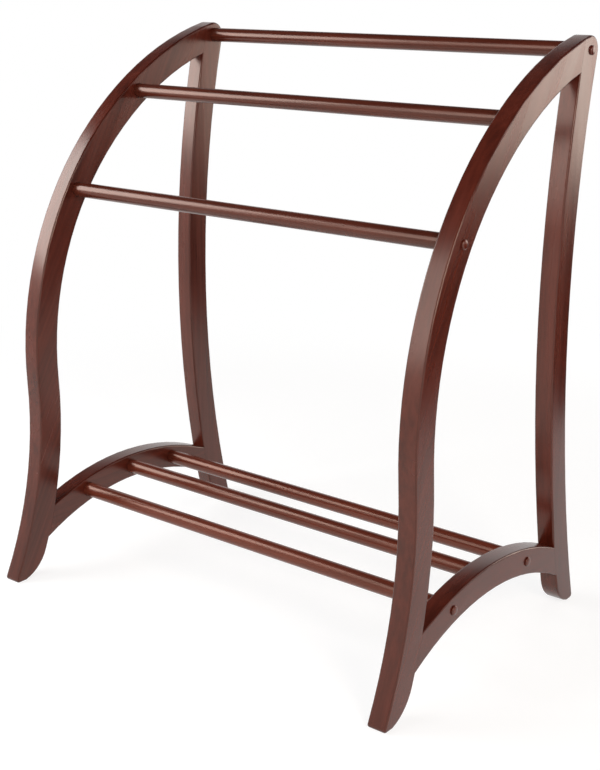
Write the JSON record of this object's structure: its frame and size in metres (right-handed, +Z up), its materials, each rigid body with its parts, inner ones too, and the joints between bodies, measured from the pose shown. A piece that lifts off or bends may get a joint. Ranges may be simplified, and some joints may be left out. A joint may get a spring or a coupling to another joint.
{
  "type": "blanket rack",
  "caption": "Free-standing wooden rack with curved side frames, high rails to hang blankets on and low rails as a shelf.",
  "frame": {"origin": "on the floor, under the middle of the rack", "axes": "+X across the rack along its rails, +Y to the back, +Z up"},
  "size_m": [0.7166, 0.4864, 0.8274],
  "materials": {
    "board_wood": "dark reddish-brown stain under satin lacquer",
    "rail_wood": "reddish-brown stain under satin lacquer",
    "plug_wood": "dark reddish-brown stain under satin lacquer",
    "pin_wood": "bare beech",
    "screw_steel": "plain zinc"
  },
  "bodies": {
    "root": {"front_leg_left": "board_wood", "front_leg_right": "board_wood", "rear_leg_left": "board_wood", "rear_leg_right": "board_wood", "arch_stretcher_left": "board_wood", "arch_stretcher_right": "board_wood", "top_rail": "rail_wood", "upper_middle_rail": "rail_wood", "upper_front_rail": "rail_wood", "rear_shelf_rail": "rail_wood", "middle_shelf_rail": "rail_wood", "front_shelf_rail": "rail_wood", "button_plug_top_left": "plug_wood", "rail_screw_top_left": "screw_steel", "button_plug_top_right": "plug_wood", "rail_screw_top_right": "screw_steel", "button_plug_upper_front_left": "plug_wood", "rail_screw_upper_front_left": "screw_steel", "button_plug_upper_front_right": "plug_wood", "rail_screw_upper_front_right": "screw_steel", "button_plug_rear_shelf_left": "plug_wood", "rail_screw_rear_shelf_left": "screw_steel", "button_plug_rear_shelf_right": "plug_wood", "rail_screw_rear_shelf_right": "screw_steel", "button_plug_front_shelf_left": "plug_wood", "rail_screw_front_shelf_left": "screw_steel", "button_plug_front_shelf_right": "plug_wood", "rail_screw_front_shelf_right": "screw_steel", "dowel_pin_top_low_left": "pin_wood", "dowel_pin_top_low_right": "pin_wood", "dowel_pin_top_high_left": "pin_wood", "dowel_pin_top_high_right": "pin_wood", "dowel_pin_front_low_left": "pin_wood", "dowel_pin_front_low_right": "pin_wood", "dowel_pin_front_high_left": "pin_wood", "dowel_pin_front_high_right": "pin_wood", "dowel_pin_rear_low_left": "pin_wood", "dowel_pin_rear_low_right": "pin_wood", "dowel_pin_rear_high_left": "pin_wood", "dowel_pin_rear_high_right": "pin_wood"}
  },
  "joints": []
}
